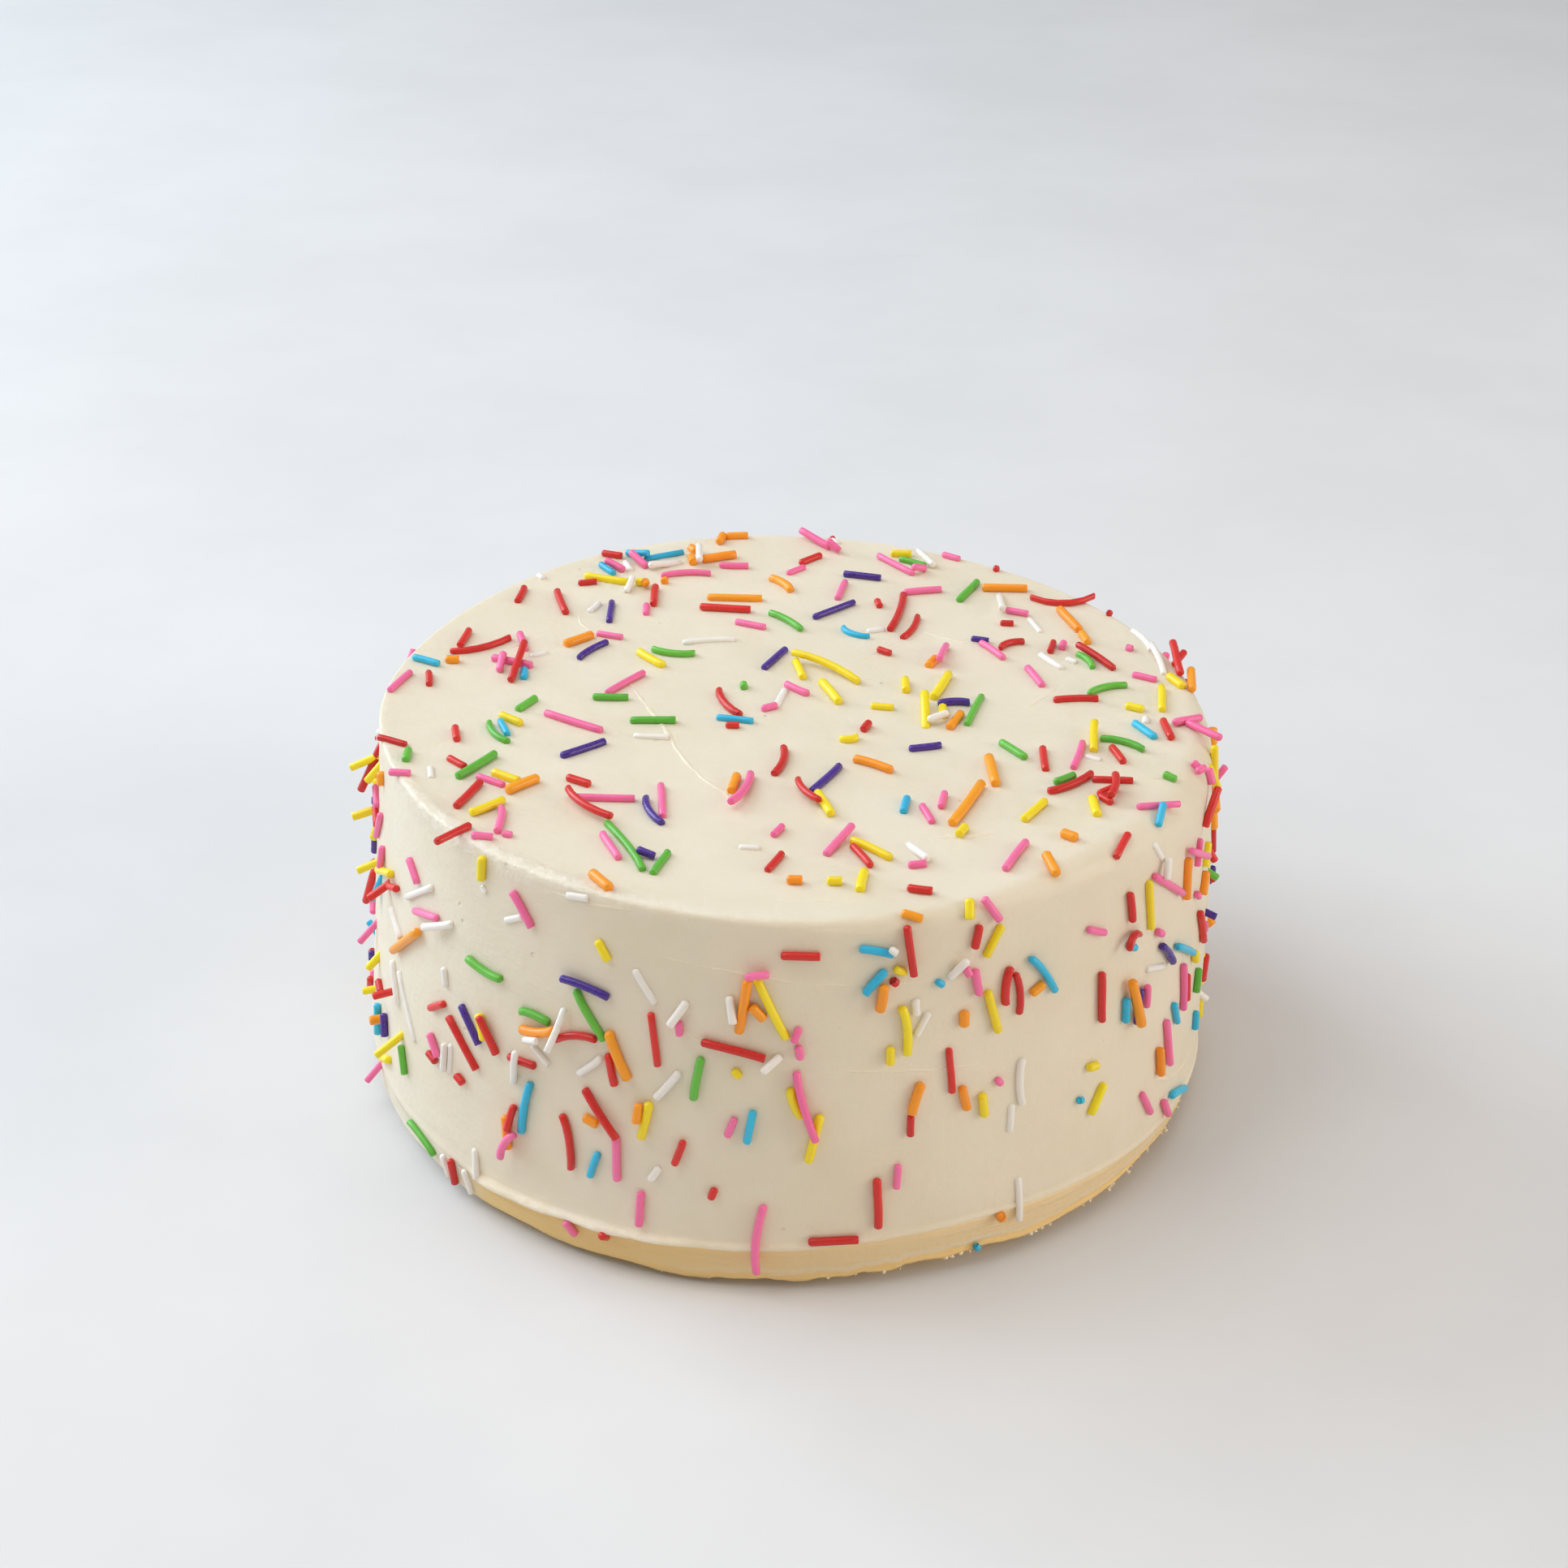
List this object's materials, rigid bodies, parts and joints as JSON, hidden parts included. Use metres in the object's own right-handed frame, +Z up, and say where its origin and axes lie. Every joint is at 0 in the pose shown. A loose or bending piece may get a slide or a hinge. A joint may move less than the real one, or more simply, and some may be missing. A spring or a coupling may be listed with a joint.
{
  "type": "frosted birthday cake with sprinkles",
  "caption": "Uncut round birthday cake under smooth cream frosting, with a soft upper rim, a scraped band round the base and bright rod sprinkles on the top and side.",
  "frame": {"origin": "middle of the bottom of the cake's box, on the flat foot that it rests on", "axes": "+Z up through the cake, -Y towards its front"},
  "size_m": [0.1938, 0.1938, 0.0911],
  "materials": {
    "frosting": "satin, soft cream frosting",
    "sprinkle_red": "satin sugar",
    "sprinkle_pink": "satin sugar",
    "sprinkle_orange": "satin sugar",
    "sprinkle_yellow": "satin sugar",
    "sprinkle_green": "satin sugar",
    "sprinkle_blue": "satin sugar",
    "sprinkle_purple": "satin sugar",
    "sprinkle_white": "satin sugar"
  },
  "bodies": {
    "root": {"cake": "frosting"}
  },
  "joints": []
}
